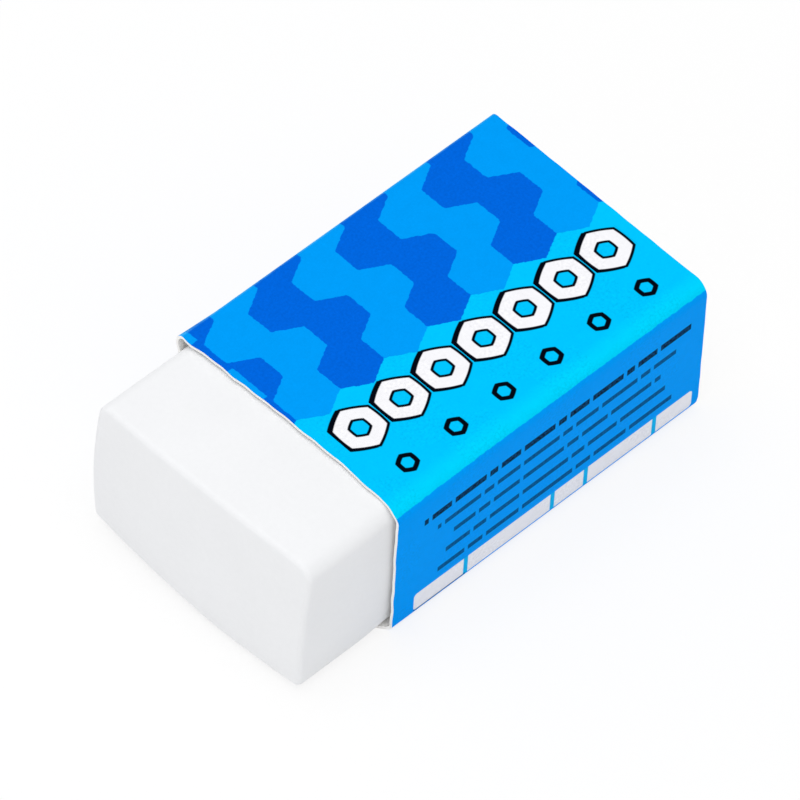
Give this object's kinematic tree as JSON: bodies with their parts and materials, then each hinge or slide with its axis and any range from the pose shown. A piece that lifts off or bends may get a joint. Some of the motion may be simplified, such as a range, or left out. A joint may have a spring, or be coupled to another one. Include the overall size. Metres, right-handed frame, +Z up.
{
  "type": "rubber eraser in a card sleeve",
  "caption": "White block eraser of soft vinyl rubber, with a printed card sleeve that slides along it.",
  "frame": {"origin": "the middle of the underside of the whole object, on the surface it lies on", "axes": "+X along the block towards the covered rear end, -X towards the bare end, +Z up out of the broad printed face, -Y out of the printed near side"},
  "size_m": [0.0365, 0.02, 0.0122],
  "materials": {
    "white_rubber": "matt",
    "printed_card": "coated, satin"
  },
  "bodies": {
    "block": {"eraser_block": "white_rubber"},
    "sleeve": {"card_sleeve": "printed_card"}
  },
  "joints": [
    {"name": "sleeve_slide", "type": "slide", "parent": "block", "child": "sleeve", "axis": [1, 0, 0], "range_m": [-0.0084, 0.02]}
  ]
}
